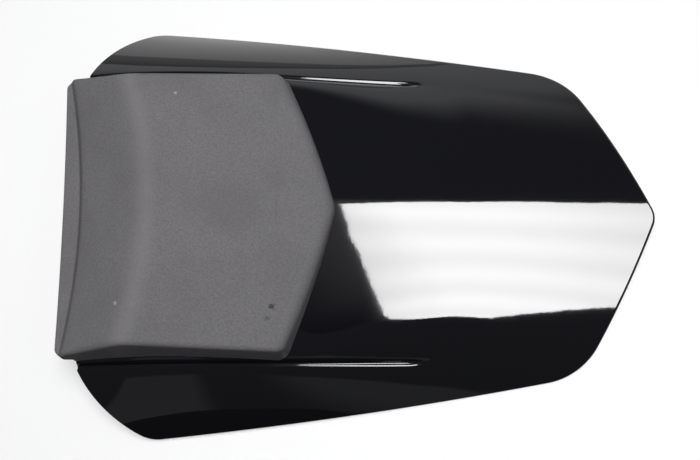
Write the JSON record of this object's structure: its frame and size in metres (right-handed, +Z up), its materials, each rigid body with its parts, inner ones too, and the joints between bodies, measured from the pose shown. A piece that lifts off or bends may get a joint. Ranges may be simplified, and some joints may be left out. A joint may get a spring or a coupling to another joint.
{
  "type": "seat cowl",
  "caption": "Motorbike seat cowl: gloss black shell with pointed tail, wings and grooves, a foam back pad on its hump, and a base with lock striker and rubber bumpers below.",
  "frame": {"origin": "middle of the cowl's length and width, on the plane of the shell's lower rim", "axes": "+X from the front towards the pointed tail, +Y towards the right side of the bike, +Z up"},
  "size_m": [0.3296, 0.24, 0.0683],
  "materials": {
    "shell": "high gloss black",
    "pad": "matt closed-cell foam",
    "pan": "matt moulded black",
    "steel": "zinc plated",
    "rubber": "matt"
  },
  "bodies": {
    "root": {"cowl_shell": "shell", "bum_stop_pad": "pad", "base_pan": "pan", "pan_screws": "steel", "latch_striker": "steel", "striker_bolts": "steel", "striker_nuts": "steel", "rubber_bumpers": "rubber"}
  },
  "joints": []
}
